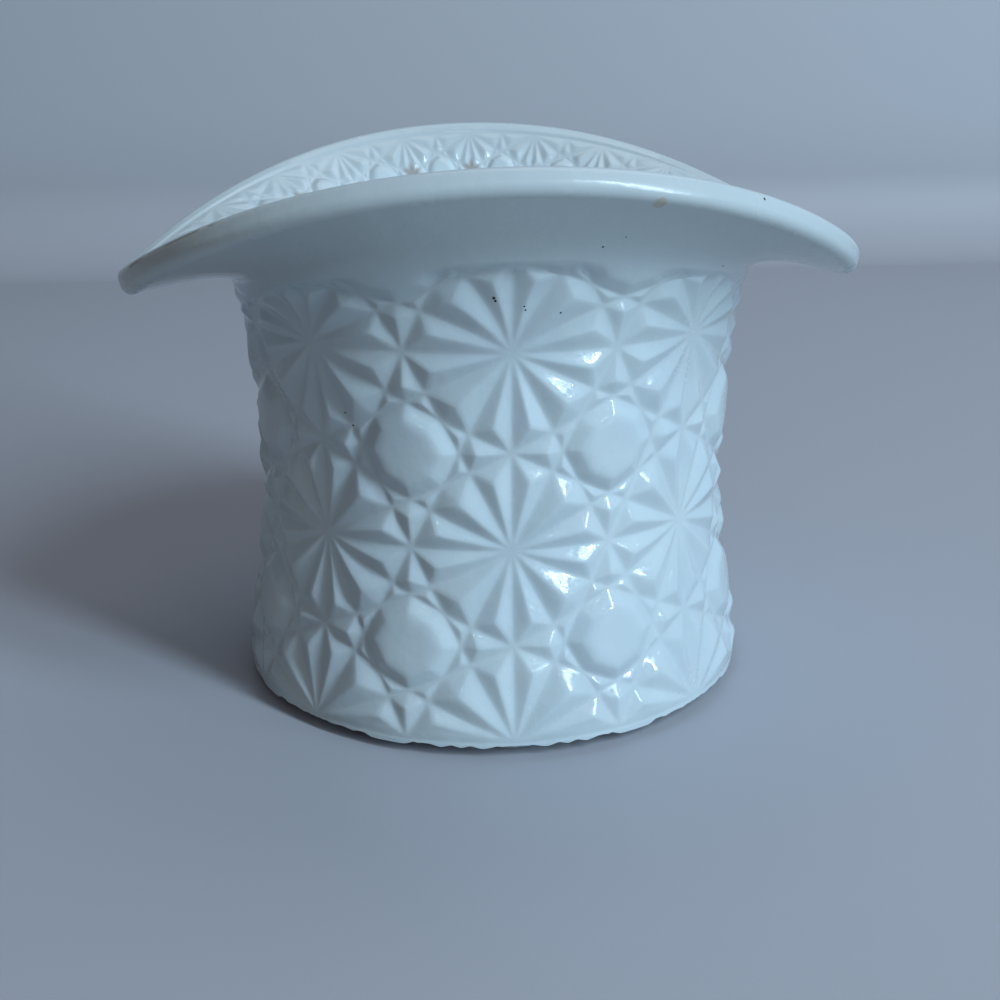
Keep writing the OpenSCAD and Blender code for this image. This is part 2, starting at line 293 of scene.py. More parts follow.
# %% Sheet of pattern cells
daisy, star, cross_point = np.array([0, 0]), np.array([1 / 2, 0]), np.array([2 / 5, 1 / 5])
kite_tip, side_tip, button = np.array([1 / 3, 1 / 3]), np.array([1 / 2, 1 / 4]), np.array([1 / 2, 1 / 2])
long_peak, star_peak = np.array([1 / 4, 1 / 4]), np.array([1 / 2, 1 / 6])
flat_side, flat_tip = mix(button, side_tip, button_flat), mix(button, kite_tip, button_flat)


def incentre(a, b, c):
    """Point as far from all three sides of a triangle: the corners weighted by the facing sides."""
    sides = np.array([np.linalg.norm(b - c), np.linalg.norm(c - a), np.linalg.norm(a - b)])
    return (np.stack([a, b, c]) * sides[:, None]).sum(axis=0) / sides.sum()


petal_peak = incentre(daisy, star, cross_point)
small_peak = incentre(cross_point, side_tip, kite_tip)
eighth = np.array([
    [daisy, star, petal_peak], [star, cross_point, petal_peak], [cross_point, daisy, petal_peak],
    [daisy, cross_point, long_peak], [cross_point, kite_tip, long_peak],
    [star, star_peak, cross_point], [cross_point, star_peak, side_tip],
    [cross_point, side_tip, small_peak], [side_tip, kite_tip, small_peak],
    [kite_tip, cross_point, small_peak],
    [side_tip, flat_side, flat_tip], [side_tip, flat_tip, kite_tip], [flat_side, button, flat_tip],
])

# Facets that run the wrong way round are turned
eighth_area = wedge(eighth[:, 1] - eighth[:, 0], eighth[:, 2] - eighth[:, 0])
eighth[eighth_area < 0] = eighth[eighth_area < 0][:, ::-1]

# Power that draws the points of the lattice towards its edges, and points along each edge
squeeze = 1.5
wall_count, brim_count, base_count = 8, 5, 5
# Difference below which two places are the same
tiny = 1e-6


def lattice(count):
    """Corner weights of a triangular lattice, squeezed towards the edges, and its small triangles."""
    i, j = np.meshgrid(np.arange(count + 1), np.arange(count + 1), indexing="ij")
    keep = i + j <= count
    number = np.cumsum(keep).reshape(keep.shape) - 1
    pull = np.stack([i, j, count - i - j], axis=-1)[keep] ** squeeze
    first = (i + j)[:-1, :-1]
    up = np.stack([number[:-1, :-1], number[1:, :-1], number[:-1, 1:]], axis=-1)[first < count]
    down = np.stack([number[1:, 1:], number[:-1, 1:], number[1:, :-1]], axis=-1)[first < count - 1]
    return pull / pull.sum(axis=1, keepdims=True), np.concatenate([up, down])


def merged(points, triangles, digits=7):
    """Points that coincide become one, and the triangles follow."""
    kept, place = np.unique(points.round(digits), axis=0, return_inverse=True)
    return kept, place.ravel()[triangles]


def pattern_sheet(half_columns, half_rows, count, wrap=None):
    """Fine triangles of whole half cells: the eighth mirrored into every half cell, both ways round."""
    weights, small = lattice(count)
    fine = np.einsum("wk,fkx->fwx", weights, eighth).reshape(-1, 2)
    faces = (np.arange(len(eighth))[:, None, None] * len(weights) + small).reshape(-1, 3)
    column, row, swap = [x.ravel() for x in np.meshgrid(
        np.arange(half_columns), np.arange(half_rows), [0, 1], indexing="ij")]
    local = np.where(swap[:, None, None] == 1, fine[None, :, ::-1], fine[None])
    whole = np.stack([column, row], axis=1)[:, None, :]
    points = np.where(whole % 2 == 0, whole / 2 + local, (whole + 1) / 2 - local)
    tiles = faces[None] + (np.arange(len(column)) * len(fine))[:, None, None]
    mirrored = (column + row + swap) % 2 == 1
    tiles[mirrored] = tiles[mirrored][..., ::-1]
    points = points.reshape(-1, 2)
    if wrap is not None:
        points[:, 0] %= wrap
        points[:, 0] = np.where(points[:, 0] > wrap - tiny, 0, points[:, 0])
    return merged(points, tiles.reshape(-1, 3))


print("one cell of the wall has", len(pattern_sheet(2, 2, wall_count)[1]), "triangles")

# %% [markdown]
# ## From arrays to closed pieces
# Every region of the glass is a closed piece of its own. A plain region is a closed section carried
# round the axis. A patterned one is a sheet whose back and edges are rings of points. Two rings with
# different spacing are joined as a zip is: always step along the ring whose next point comes first.

# %% Lofts, zips and meshes
around, back_around = 288, 192
plain_crease, pattern_crease = 35, 55


def turns_of(count):
    """Even places round the axis, in turns from 0 up to 1."""
    return np.arange(count) / count


def zip_rings(lower, lower_at, upper, upper_at):
    """Triangles between two closed rings of point numbers, whose places are given in turns."""
    lower_next = np.append(lower_at[1:], lower_at[0] + 1)
    upper_next = np.append(upper_at[1:], upper_at[0] + 1)
    facing_upper = upper[np.searchsorted(upper_next, lower_next, side="left") % len(upper)]
    facing_lower = lower[np.searchsorted(lower_next, upper_next, side="right") % len(lower)]
    return np.concatenate([
        np.stack([lower, np.roll(lower, -1), facing_upper], axis=1),
        np.stack([facing_lower, np.roll(upper, -1), upper], axis=1),
    ])


def zip_chain(rings, places):
    """Zips each ring of a list to the next one."""
    steps = zip(rings[:-1], places[:-1], rings[1:], places[1:])
    return np.concatenate([zip_rings(*step) for step in steps])


def loft(section_at):
    """Closed section, a function of the angle, carried round the axis: a ring of tube."""
    angle = turns_of(around) * math.tau
    section = section_at(angle)
    area = wedge(section[0], np.roll(section[0], -1, axis=0)).sum()
    if area < 0:
        section = section[:, ::-1]
    points = round_axis(angle[:, None], section)
    number = np.arange(points.shape[0] * points.shape[1]).reshape(points.shape[:2]).T
    rings = [*number, number[0]]
    return points.reshape(-1, 3), zip_chain(rings, [turns_of(around)] * len(rings))


def spin(profile):
    """Profile from the axis out and back, spun round the axis and closed by a point at each end."""
    angle = turns_of(around) * math.tau
    rings = round_axis(angle, np.broadcast_to(profile[1:-1, None], (len(profile) - 2, around, 2)))
    points = np.concatenate([rings.reshape(-1, 3), [[0, 0, profile[0, 1]], [0, 0, profile[-1, 1]]]])
    number = np.arange(rings.shape[0] * around).reshape(-1, around)
    pole = number.size
    fans = [np.stack([np.roll(number[0], -1), number[0], np.full(around, pole)], axis=1),
            np.stack([number[-1], np.roll(number[-1], -1), np.full(around, pole + 1)], axis=1)]
    return points, np.concatenate([zip_chain(number, [turns_of(around)] * len(number)), *fans])


def sheet_row(cells, v, turn):
    """Point numbers of a sheet's row at that v, in order round the axis, and their places in turns."""
    row = np.flatnonzero(np.abs(cells[:, 1] - v) < tiny)
    row = row[np.argsort(cells[row, 0])]
    return row, cells[row, 0] / turn


def backed(points, triangles, first_row, last_row, rings):
    """Sheet closed by the rings of its back, which lead from its last row round to its first row."""
    number = len(points) + np.arange(rings.shape[0] * rings.shape[1]).reshape(rings.shape[:2])
    chain = [last_row[0], *number, first_row[0]]
    places = [last_row[1], *[turns_of(rings.shape[1])] * len(number), first_row[1]]
    closed = np.concatenate([triangles, zip_chain(chain, places)])
    return np.concatenate([points, rings.reshape(-1, 3)]), closed


def glass_piece(name, node, points, triangles, groove=None, crease=plain_crease):
    """Mesh of a closed piece in metres that rides on the body, with its CAD node hidden."""
    mesh = bpy.data.meshes.new(name)
    mesh.from_pydata((points * MM).tolist(), [], triangles.tolist())
    mesh.shade_smooth()
    mesh.set_sharp_from_angle(angle=math.radians(crease))
    depth = mesh.attributes.new("groove", "FLOAT", "POINT")
    values = np.zeros(len(points), np.float32)
    if groove is not None:
        values[:len(groove)] = groove
    depth.data.foreach_set("value", values)
    piece = bpy.data.objects.new(name, mesh)
    bpy.context.scene.collection.objects.link(piece)
    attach(piece, "root")
    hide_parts(node)
    ends = [triangles[:, pair] for pair in ([0, 1], [1, 2], [2, 0])]
    edges = np.sort(np.concatenate(ends), axis=1)
    uses = np.unique(edges, axis=0, return_counts=True)[1]
    print(f"{name}: {len(triangles)} triangles, every edge used twice: {bool((uses == 2).all())}")
    return piece


# %% [markdown]
# ## The patterned wall
# The sheet has eight daisies round the wall and two and a half rows up it. Below the top row it lies
# on the waisted wall, and above it on the curve of the neck, where the grooves run out. At the sides
# they run out earlier, because there the brim was bent down in the heat and its neck melted smooth.

# %% Wall relief
half_rows = 5
side_fade, front_fade, full_lift = 1.7, 2.4, 0.6
# The level groove along the foot is softer, up to this part of a row
foot_valley, foot_reach = 0.8, 0.4
back_levels = 14


def wall_section(angle, v):
    """Radius and height of the wall over its buttons: the waisted wall up to row 2, then the neck."""
    z = row_height(v)
    on_wall = np.stack([wall_radius(z), z], axis=-1)
    t = pattern_end(angle) * (v - 2) * 2
    return np.where((v <= 2)[..., None], on_wall, along_curve(outer_curve(angle), np.clip(t, 0, 1)))


def smooth_step(x):
    """0 up to x of 0, 1 from x of 1, and level at both ends."""
    x = np.clip(x, 0, 1)
    return x * x * (3 - 2 * x)


def run_out(start, v):
    """1 up to the start and 0 where the pattern ends."""
    return 1 - smooth_step((v - start) / (half_rows / 2 - start))


def wall_fade(angle, v):
    """Depth of the grooves as a share: they run out over the neck, and earlier at the sides."""
    return run_out(mix(side_fade, front_fade, smooth_step(lift(angle) / full_lift)), v)


def seat_depth(v):
    """Depth of the hidden seat behind the pattern."""
    return under_groove + groove_d * run_out(front_fade, v)


def inward(section, depth):
    """Section point moved towards the axis."""
    return section - np.stack([depth, np.zeros_like(depth)], axis=-1)


cells, triangles = pattern_sheet(2 * daisies, half_rows, wall_count, wrap=daisies)
angle = cells[:, 0] / daisies * math.tau
level_valley = mix(foot_valley, cut_valley, smooth_step(cells[:, 1] / foot_reach))
height_share = pattern_height(cells[:, 0], cells[:, 1], level_valley=level_valley)
sunken = (1 - height_share) * wall_fade(angle, cells[:, 1])
points = round_axis(angle, inward(wall_section(angle, cells[:, 1]), groove_d * sunken))
levels = np.linspace(half_rows / 2, 0, back_levels)
back_angle, back_v = np.meshgrid(turns_of(back_around) * math.tau, levels)
back = round_axis(back_angle, inward(wall_section(back_angle, back_v), seat_depth(back_v)))
rows = [sheet_row(cells, v, daisies) for v in (0, half_rows / 2)]
sheet = backed(points, triangles, *rows, back)
wall_relief = glass_piece("wall_relief", "wall_daisies", *sheet, groove=sunken, crease=pattern_crease)

# %% [markdown]
# ## The patterned brim
# On the brim the pattern is smaller: three daisies for each one of the wall, and one row from the
# rim inwards, so that half daisies stand along both edges. Its grooves sink along the brim's normal.
# They were melted shallow when the brim was bent in the flame, most of all next to the rim. Dirt lies
# in the small stars between the daisies, so the mesh carries a mask of them for the material.

# %% Brim relief
brim_daisies = 3 * daisies
brim_start, brim_end = 0.52, 0.96
brim_seat = np.linspace(brim_start, brim_end, 6)
brim_melt, rim_melt, melt_reach = 0.6, 0.4, 0.3
melted_valley, melted_edge = 0.2, 0.12
star_core, star_edge = 0.05, 0.25


def brim_groove(v):
    """Depth of the brim's grooves: melted shallow all over, and most next to the rim, where v is 0."""
    return brim_groove_d * brim_melt * mix(rim_melt, 1, smooth_step(v / melt_reach))


cells, triangles = pattern_sheet(2 * brim_daisies, 2, brim_count, wrap=brim_daisies)
angle, v = cells[:, 0] / brim_daisies * math.tau, cells[:, 1]
sunken = 1 - pattern_height(cells[:, 0], v, valley=melted_valley, edge=melted_edge)
points = round_axis(angle, sunk(angle, mix(brim_end, brim_start, v), brim_groove(v) * sunken))
star_gap = np.hypot(from_whole(cells[:, 0]), v - 0.5)
recess = sunken * (1 - smooth_step((star_gap - star_core) / star_edge))
back_angle, back_t = np.meshgrid(turns_of(back_around) * math.tau, brim_seat)
back = round_axis(back_angle, sunk(back_angle, back_t, brim_relief_t))
rows = [sheet_row(cells, v, brim_daisies) for v in (0, 1)]
sheet = backed(points, triangles, *rows, back)
brim_relief = glass_piece("brim_relief", "brim_daisies", *sheet, groove=recess, crease=pattern_crease)

# %% [markdown]
# ## The patterned underside
# Below, a finer pattern covers a flat disc with a button in the middle. Its outer zone is dished, so
# that the hat stands inside its bottom edge, and the grooves run out through that edge. They leave
# the small notches that show along the foot. The sheet is cut off along the edge's circle.

# %% Base relief
base_cell, base_cells = 14.0, 5
notch_d, cut_slack = 0.4, 1e-3


def split(cells, triangles, level):
    """Triangles cut along the line where level, one number for each point, changes its sign."""
    inside = level > 0
    flags = inside[triangles]
    mixed = (flags.sum(axis=1) % 3) > 0
    corners, flags = triangles[mixed], flags[mixed]
    lonely = np.argmax(flags == (flags.sum(axis=1) == 1)[:, None], axis=1)
    corners = np.take_along_axis(corners, (lonely[:, None] + np.arange(3)) % 3, axis=1)
    cut = np.sort(corners[:, [[0, 1], [0, 2]]].reshape(-1, 2), axis=1)
    cut, number = np.unique(cut, axis=0, return_inverse=True)
    share = (level[cut[:, 0]] / (level[cut[:, 0]] - level[cut[:, 1]]))[:, None]
    fresh = mix(cells[cut[:, 0]], cells[cut[:, 1]], share)
    left, right = (len(cells) + number.reshape(-1, 2)).T
    lone, near, far = corners.T
    parts = [np.stack(t, axis=1) for t in ((lone, left, right), (left, near, far), (left, far, right))]
    return np.concatenate([cells, fresh]), np.concatenate([triangles[~mixed], *parts]), len(cells)


def base_place(cells):
    """Place on the underside in millimetres, with the middle of the sheet on the axis."""
    return (cells - base_cells / 2) * base_cell


def base_radius(cells):
    """Distance from the axis."""
    return np.linalg.norm(base_place(cells), axis=1)


cells, triangles = pattern_sheet(2 * base_cells, 2 * base_cells, base_count)
cells, triangles, _ = split(cells, triangles, foot_r - base_radius(cells))
cells, triangles, first_cut = split(cells, triangles, edge_r - base_radius(cells))
triangles = triangles[(base_radius(cells)[triangles] < edge_r + cut_slack).all(axis=1)]
flat = base_place(cells)
rim_row = np.unique(triangles)
rim_row = rim_row[rim_row >= first_cut]
flat[rim_row] *= edge_r / base_radius(cells)[rim_row, None]
dish = np.clip((base_radius(cells) - foot_r) / foot_in, 0, 1)
sunken = 1 - pattern_height(cells[:, 0], cells[:, 1])
depth = edge_z * dish + mix(groove_d, notch_d, dish) * sunken
depth -= depth.min()
turn = np.arctan2(flat[rim_row, 0], -flat[rim_row, 1]) / math.tau % 1
rim_row, turn = rim_row[np.argsort(turn)], np.sort(turn)
top = round_axis(turn * math.tau, np.broadcast_to([edge_r, base_t], (len(turn), 2)))
points = np.concatenate([np.column_stack([flat, depth]), top, [[0, 0, base_t]]])
top_row = len(cells) + np.arange(len(turn))
lid = np.stack([top_row, np.roll(top_row, -1), np.full(len(turn), len(points) - 1)], axis=1)
side = zip_rings(rim_row, turn, top_row, turn)
groove = np.concatenate([sunken, np.zeros(len(turn) + 1)])
triangles = np.concatenate([triangles[:, ::-1], side, lid])
used, renumbered = np.unique(triangles, return_inverse=True)
points, triangles, groove = points[used], renumbered.reshape(-1, 3), groove[used]
base_relief = glass_piece("base_relief", "base_daisies", points, triangles, groove, pattern_crease)

# %% [markdown]
# ## The plain glass
# The floor of the cup, the wall behind its pattern, the neck, the brim and its rim are plain.
# Each is a section carried round the axis, with the same curves as the patterned pieces, so that the
# regions meet edge to edge and read as one piece of glass. The rim carries a mask of the brown line
# that wear and dirt left along its upper edge, on the left.

# %% Floor and wall of the cup
disc = [0.2, 0.5, 0.8]
# The band below the pattern is tucked in, so that it stays behind the straight edges of the relief
tuck = 0.04
floor_profile = np.concatenate([
    [[0, base_t]], [[edge_r * share, base_t] for share in disc],
    [[edge_r, base_t], [edge_r - tuck, foot_row], [fillet_r, row_1], [fillet_r, floor_t]],
    [[fillet_r * share, floor_t] for share in disc[::-1]], [[0, floor_t]],
])
cup_floor = glass_piece("cup_floor", "floor", *spin(floor_profile))


def wall_ring(angle):
    """Section of the wall: up behind the pattern, down the inside of the cup and round its fillet."""
    z = row_height(np.linspace(0, 2, 20))
    inside = np.linspace(row_3, fillet_z, 12)[:-1]
    fillet = np.linspace(-draft, -math.pi / 2, 16)
    section = np.concatenate([
        [[fillet_r, row_1]],
        np.stack([wall_radius(z) - groove_d - under_groove, z], axis=-1),
        np.stack([cup_radius(inside), inside], axis=-1),
        np.array([fillet_r, fillet_z]) + cup_fillet * pointing(fillet),
    ])
    return np.broadcast_to(section, (len(angle), *section.shape))


cup_wall = glass_piece("cup_wall", "wall", *loft(wall_ring))

# %% Neck, brim and rim
neck_past, neck_short = 0.2, 0.06
seat_under, bevel = 0.3, 0.02
neck_end_in = brim_start - neck_short
# Worn line on the rim: place on its upper corner, half width, and reach as angles from the front
worn_bend, worn_half_mm = 0.45, 0.3
worn_from, worn_to, worn_soft = -1.25, -0.8, 0.1


def neck_end_out(angle):
    """Share of the outer curve at which the neck hands over to the brim."""
    return pattern_end(angle) + neck_past


def seat_bend(angle):
    """Bend in the hidden seat between neck and brim, below the brim's pattern."""
    return sunk(angle, neck_end_in, brim_relief_t + seat_under)


def graded(count):
    """Places from 0 to 1 that lie closer at both ends, so that the shading runs on over a seam."""
    return (1 - np.cos(np.linspace(0, math.pi, count))) / 2


def along_outer(angle, start, end, count):
    """Points along the outside of the section between two shares of its curve."""
    return [along_curve(outer_curve(angle), mix(start, end, share)) for share in graded(count)]


def plain_band(angle, start, end, count):
    """Points along the upper side of the section between two shares of its curve."""
    return [sunk(angle, mix(start, end, share), 0) for share in graded(count)]


def bevel_down(angle, edge, far, depth):
    """Soft bevel from the plain glass at the share far down to the bottom of the pattern at edge."""
    shares = np.linspace(0, 1, 8)
    return [sunk(angle, mix(far, edge, share), depth * smooth_step(share)) for share in shares]


def behind_pattern(angle, v):
    """Points of the seat behind the wall's pattern at one row."""
    section = wall_section(angle, np.full_like(angle, v))
    return inward(section, np.full_like(angle, seat_depth(v)))


def neck_ring(angle):
    """Section of the neck: behind the pattern, along the plain outside, and back along the mouth."""
    behind = [behind_pattern(angle, v) for v in np.linspace(2, half_rows / 2, 12)]
    outside = along_outer(angle, pattern_end(angle), neck_end_out(angle), 14)
    mouth = plain_band(angle, neck_end_in, 0, 24)
    return np.stack([*behind, *outside, seat_bend(angle), *mouth], axis=1)


def brim_ring(angle):
    """Section of the brim: mouth, bevel, seat of the pattern, bevel, plain band and smooth underside."""
    seat = [sunk(angle, t, brim_relief_t) for t in brim_seat]
    return np.stack([
        seat_bend(angle), *plain_band(angle, neck_end_in, brim_start - bevel, 4)[:-1],
        *bevel_down(angle, brim_start, brim_start - bevel, brim_groove(1)), *seat,
        *bevel_down(angle, brim_end, brim_end + bevel, brim_groove(0))[::-1],
        *plain_band(angle, brim_end + bevel, 1, 8)[1:],
        *along_outer(angle, 1, neck_end_out(angle), 20),
    ], axis=1)


def rim_section(angle, out_by, up_by):
    """Point of the rim's section, so far out from the brim's end and so far up from its middle."""
    slope = rise(angle)
    return brim_tip(angle) + pointing(slope) * out_by + pointing(slope + math.pi / 2) * up_by


def rim_corner(angle, side, bend):
    """Point of the quarter circle at the upper (side is 1) or the lower edge (side is -1) of the rim."""
    out_by = round_out + rim_round * math.cos(bend)
    up_by = side * (round_off + rim_round * math.sin(bend))
    return rim_section(angle, out_by, up_by)


def rim_ring(angle):
    """Section of the rim: a flat edge as thick as the brim, with a quarter circle below and above."""
    bends = np.linspace(0, math.pi / 2, 10)
    lower = [rim_corner(angle, -1, bend) for bend in bends[::-1]]
    upper = [rim_corner(angle, 1, bend) for bend in bends]
    bottom, top = [rim_section(angle, 0, side * brim_t / 2) for side in (-1, 1)]
    return np.stack([bottom, *lower, *upper, top], axis=1)


neck_turn = glass_piece("neck_turn", "neck", *loft(neck_ring))
brim_plate = glass_piece("brim_plate", "brim", *loft(brim_ring))
points, triangles = loft(rim_ring)
angle = np.arctan2(points[:, 0], -points[:, 1])
worn_line = rim_corner(angle, 1, worn_bend)
radius = np.hypot(points[:, 0], points[:, 1])
line_gap = np.hypot(radius - worn_line[:, 0], points[:, 2] - worn_line[:, 1])
begun, ended = [smooth_step((angle - end) / worn_soft) for end in (worn_from, worn_to)]
worn = np.exp(-(line_gap / worn_half_mm) ** 2) * begun * (1 - ended)
rim_edge = glass_piece("rim_edge", "rim", points, triangles, groove=worn)

# %% [markdown]
# ## The glass
# The glass is opaque white with a cool tone and a bright fire polish. Pressed glass is never quite
# even: the skin that chilled against the mould is a little wavy, handling leaves a faint bloom, and
# old dirt stays in the grooves. These effects go into every material, so they are one node group.
# The brim's thinner glass lets some light through, so it looks a little greyer than the wall. That
# grey is partly painted shade: on the underside of the brim and on the neck below it.
# The group reads Object coordinates, and the depth of the grooves from the attribute of each mesh.

# %% Node group of the pressed surface
def wire(tree, source, target):
    """Joins an output socket to an input socket."""
    tree.links.new(source, target)


def noise(tree, place, size_mm, detail):
    """Noise with lumps of that size, from about 0.3 to 0.7."""
    node = tree.nodes.new("ShaderNodeTexNoise")
    node.inputs["Scale"].default_value = 1 / (size_mm * MM)
    node.inputs["Detail"].default_value = detail
    wire(tree, place, node.inputs["Vector"])
    return node.outputs["Fac"]


def ramp(tree, value, low, high, start=0.0, end=1.0):
    """Smooth step from start to end while the value goes from low to high."""
    node = tree.nodes.new("ShaderNodeMapRange")
    node.interpolation_type = "SMOOTHSTEP"
    for name, number in zip(("From Min", "From Max", "To Min", "To Max"), (low, high, start, end)):
        node.inputs[name].default_value = number
    wire(tree, value, node.inputs["Value"])
    return node.outputs["Result"]


def combine(tree, operation, first, second):
    """Two values, sockets or numbers, joined by one operation."""
    node = tree.nodes.new("ShaderNodeMath")
    node.operation = operation
    for socket, value in zip(node.inputs, (first, second)):
        if isinstance(value, (int, float)):
            socket.default_value = value
        else:
            wire(tree, value, socket)
    return node.outputs[0]


def blend_colours(tree, share, first, second):
    """Mix of two colours, sockets or numbers, by a share."""
    node = tree.nodes.new("ShaderNodeMix")
    node.data_type = "RGBA"
    colours = [socket for socket in node.inputs if socket.type == "RGBA"]
    for socket, value in zip(colours, (first, second)):
        if isinstance(value, tuple):
            socket.default_value = (*value, 1)
        else:
            wire(tree, value, socket)
    wire(tree, share, node.inputs["Factor"])
    return next(socket for socket in node.outputs if socket.type == "RGBA")


white_glass, cool_glass = (0.60, 0.72, 0.805), (0.565, 0.685, 0.78)
# The grey of the brim is the tone of its thinner glass, and also painted shade under the brim
thin_and_shaded_glass, old_dirt = (0.525, 0.615, 0.675), (0.30, 0.27, 0.25)
# Lumps of the noises in millimetres, and the bands of their values over which they take effect
cloud_mm, patch_mm, bloom_mm, grain_mm = 14, 5, 9, 0.45
middle_band, bloom_band, grain_band = (0.4, 0.6), (0.35, 0.65), (0.44, 0.58)
# Depth of the grooves that holds dirt, roughness of the polish, and how dull dirt is
dirty_depth, polish_range, dirt_dull = (0.35, 0.95), (0.03, 0.09), 0.4
# Radius and height in millimetres over which the glass turns to the grey of the brim: the tone of its
# thinner glass, and painted shade under it
thin_and_shade_radius, thin_and_shade_height = (30.5, 35), (40, 48)
# Waves, skin and ripple of the surface, as size in millimetres, detail and share
unevenness = [(6, 1, 0.6), (1.4, 1, 0.5), (0.3, 2, 0.13)]

surface = bpy.data.node_groups.new("pressed_surface", "ShaderNodeTree")
for name in ("Groove", "Grime", "Bloom", "Streak"):
    surface.interface.new_socket(name, in_out="INPUT", socket_type="NodeSocketFloat")
surface.interface.new_socket("Color", in_out="OUTPUT", socket_type="NodeSocketColor")
for name in ("Roughness", "Height"):
    surface.interface.new_socket(name, in_out="OUTPUT", socket_type="NodeSocketFloat")
group_in, group_out = surface.nodes.new("NodeGroupInput"), surface.nodes.new("NodeGroupOutput")
place = surface.nodes.new("ShaderNodeTexCoord").outputs["Object"]

clouds = ramp(surface, noise(surface, place, cloud_mm, 2), *middle_band)
patches = ramp(surface, noise(surface, place, patch_mm, 4), *middle_band)
bottom = ramp(surface, group_in.outputs["Groove"], *dirty_depth)
dirty = combine(surface, "MULTIPLY", patches, bottom)
dirt = combine(surface, "MULTIPLY", dirty, group_in.outputs["Grime"])
axes = surface.nodes.new("ShaderNodeSeparateXYZ")
wire(surface, place, axes.inputs["Vector"])
x, y, z = axes.outputs
square = combine(surface, "ADD", combine(surface, "MULTIPLY", x, x), combine(surface, "MULTIPLY", y, y))
from_axis = combine(surface, "POWER", square, 0.5)
outwards = ramp(surface, from_axis, *[length * MM for length in thin_and_shade_radius])
upwards = ramp(surface, z, *[length * MM for length in thin_and_shade_height])
# Share of the brim's grey: its thinner glass, and painted shade on its underside and on the neck
thin_and_shade = combine(surface, "MULTIPLY", outwards, upwards)
tone = blend_colours(surface, thin_and_shade, blend_colours(surface, clouds, white_glass, cool_glass), thin_and_shaded_glass)
wire(surface, blend_colours(surface, dirt, tone, old_dirt), group_out.inputs["Color"])
bloom = ramp(surface, noise(surface, place, bloom_mm, 3), *bloom_band, *polish_range)
grain = ramp(surface, noise(surface, place, grain_mm, 2), *grain_band)
streaks = combine(surface, "MULTIPLY", grain, group_in.outputs["Streak"])
dull = combine(surface, "ADD", group_in.outputs["Bloom"], combine(surface, "MULTIPLY", dirt, dirt_dull))
polish = combine(surface, "ADD", bloom, streaks)
wire(surface, combine(surface, "ADD", polish, dull), group_out.inputs["Roughness"])
uneven = 0.0
for size_mm, detail, share in unevenness:
    lumps = combine(surface, "MULTIPLY", noise(surface, place, size_mm, detail), share)
    uneven = combine(surface, "ADD", uneven, lumps)
wire(surface, uneven, group_out.inputs["Height"])
print("node group", surface.name, "with", len(surface.nodes), "nodes")

# %% [markdown]
# ## Marks of age
# A few marks are read off the picture and listed: black specks of scale that were pressed
# into the wall, the neck and the rim, and a small tan chip under the edge of the rim. Each is a ragged
# spot round a point that the functions above give. All materials share them in one more group.

# %% Node group of the marks
# Places on the wall and the neck as daisies to the right of the front, rows, and size in millimetres
wall_specks = [
    (-0.08, 2.262, 0.2), (-0.072, 2.245, 0.16), (0.048, 2.211, 0.11), (0.053, 2.192, 0.11),
    (0.203, 2.175, 0.13), (-0.793, 1.6, 0.14), (-0.835, 1.66, 0.11), (0.319, 2.605, 0.14),
    (0.389, 2.687, 0.1), (0.98, 2.565, 0.16),
]
# Places on the rim as degrees to the right of the front, out and up in its section, and size
rim_specks = [(36.5, 1.24, 0.48, 0.16), (68, 1.06, -1.04, 0.2)]
chip_at, chip_mm = (19.2, 0.12, -1.56), 0.75
# A spot ends between these multiples of its size, and its outline is ragged by lumps of this size
spot_core, spot_end, ragged_mm = 1.3, 1.5, 0.5
chip_colour, speck_colour = (0.49, 0.49, 0.45), (0.02, 0.02, 0.025)


def spot(tree, place, ragged, middle, size_mm):
    """1 in a ragged spot round a point in millimetres, 0 outside it."""
    node = tree.nodes.new("ShaderNodeVectorMath")
    node.operation = "DISTANCE"
    node.inputs[1].default_value = middle * MM
    wire(tree, place, node.inputs[0])
    far = combine(tree, "ADD", node.outputs["Value"], combine(tree, "MULTIPLY", ragged, size_mm * MM))
    return ramp(tree, far, spot_core * size_mm * MM, spot_end * size_mm * MM, 1.0, 0.0)


def wall_place(u, v):
    """Place on the wall over the pattern: u counts daisies to the right of the front, v rows."""
    angle = np.array(u / daisies * math.tau)
    sunken = (1 - pattern_height(np.array(u), np.array(v))) * wall_fade(angle, v)
    return round_axis(angle, inward(wall_section(angle, np.array(v)), groove_d * sunken))


def rim_place(degrees, out_by, up_by):
    """Place on the rim at that angle to the right of the front."""
    angle = np.array(math.radians(degrees))
    return round_axis(angle, rim_section(angle, out_by, up_by))


marks = bpy.data.node_groups.new("glass_marks", "ShaderNodeTree")
for name in ("Speck", "Chip"):
    marks.interface.new_socket(name, in_out="OUTPUT", socket_type="NodeSocketFloat")
marks_out = marks.nodes.new("NodeGroupOutput")
marks_place = marks.nodes.new("ShaderNodeTexCoord").outputs["Object"]
ragged = noise(marks, marks_place, ragged_mm, 2)
places = [(wall_place(u, v), size) for u, v, size in wall_specks]
places += [(rim_place(*where), size) for *where, size in rim_specks]
speck = 0.0
for middle, size_mm in places:
    speck = combine(marks, "MAXIMUM", speck, spot(marks, marks_place, ragged, middle, size_mm))
wire(marks, speck, marks_out.inputs["Speck"])
chip_place = rim_place(*chip_at)
wire(marks, spot(marks, marks_place, ragged, chip_place, chip_mm), marks_out.inputs["Chip"])
print("node group", marks.name, "with", len(marks.nodes), "nodes, chip at", chip_place.round(1), "mm")

# %% [markdown]
# ## One glass, five finishes
# All regions are the same glass. They differ in how much dirt their grooves hold, how wavy their
# skin is and how far handling has dulled it: most on the rim, which fingers touch. Only the wall
# shows fine streaks in its polish.

# %% Materials
glass_index = 1.52


